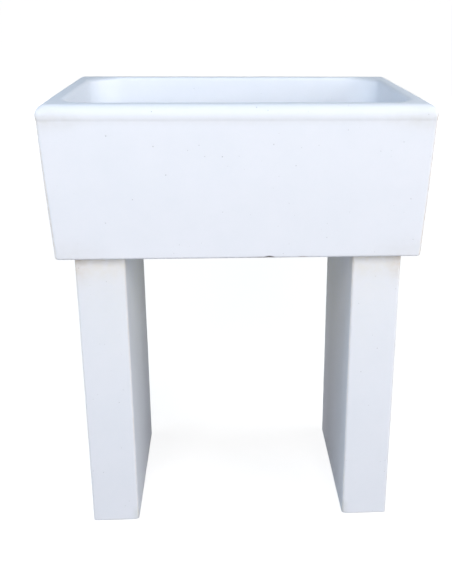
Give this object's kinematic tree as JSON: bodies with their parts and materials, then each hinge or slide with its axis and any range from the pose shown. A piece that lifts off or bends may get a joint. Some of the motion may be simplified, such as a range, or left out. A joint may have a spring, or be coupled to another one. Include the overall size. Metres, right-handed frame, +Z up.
{
  "type": "utility laundry sink",
  "caption": "Free-standing utility laundry sink: a deep one-piece cast white bowl with leaning sides, bedded on slab legs, with a bottom waste and a lift-out plug.",
  "frame": {"origin": "on the floor, below the middle of the rim", "axes": "+Z up, +X to the right and +Y to the back of someone who stands at the sink"},
  "size_m": [0.7, 0.5, 0.86],
  "materials": {
    "cast_white": "satin",
    "mortar": "matte",
    "galvanised_steel": "satin",
    "chrome": "polished",
    "rubber": "matte",
    "red_fibre": "matte",
    "brass": "satin"
  },
  "bodies": {
    "stand": {"bowl": "cast_white", "left_leg": "cast_white", "right_leg": "cast_white", "left_mortar_bed": "mortar", "right_mortar_bed": "mortar", "left_front_dowel": "galvanised_steel", "left_back_dowel": "galvanised_steel", "right_front_dowel": "galvanised_steel", "right_back_dowel": "galvanised_steel", "waste_body": "chrome", "flange_seal": "rubber", "rubber_washer": "rubber", "fibre_washer": "red_fibre", "lock_nut": "brass", "tailpiece_washer": "rubber", "tailpiece": "chrome", "coupling_nut": "chrome"},
    "plug": {"plug_rubber": "rubber", "plug_stem": "chrome", "plug_upper_washer": "chrome", "plug_lower_washer": "chrome", "plug_nut": "brass"},
    "ring": {"pull_ring": "chrome"}
  },
  "joints": [
    {"name": "plug_lift", "type": "slide", "parent": "stand", "child": "plug", "axis": [0, 0, 1], "range_m": [0, 0.3]},
    {"name": "ring_swing", "type": "hinge", "parent": "plug", "child": "ring", "pos_m": [0, 0, 0.6207], "axis": [1, 0, 0], "range_deg": [0, 208]}
  ]
}
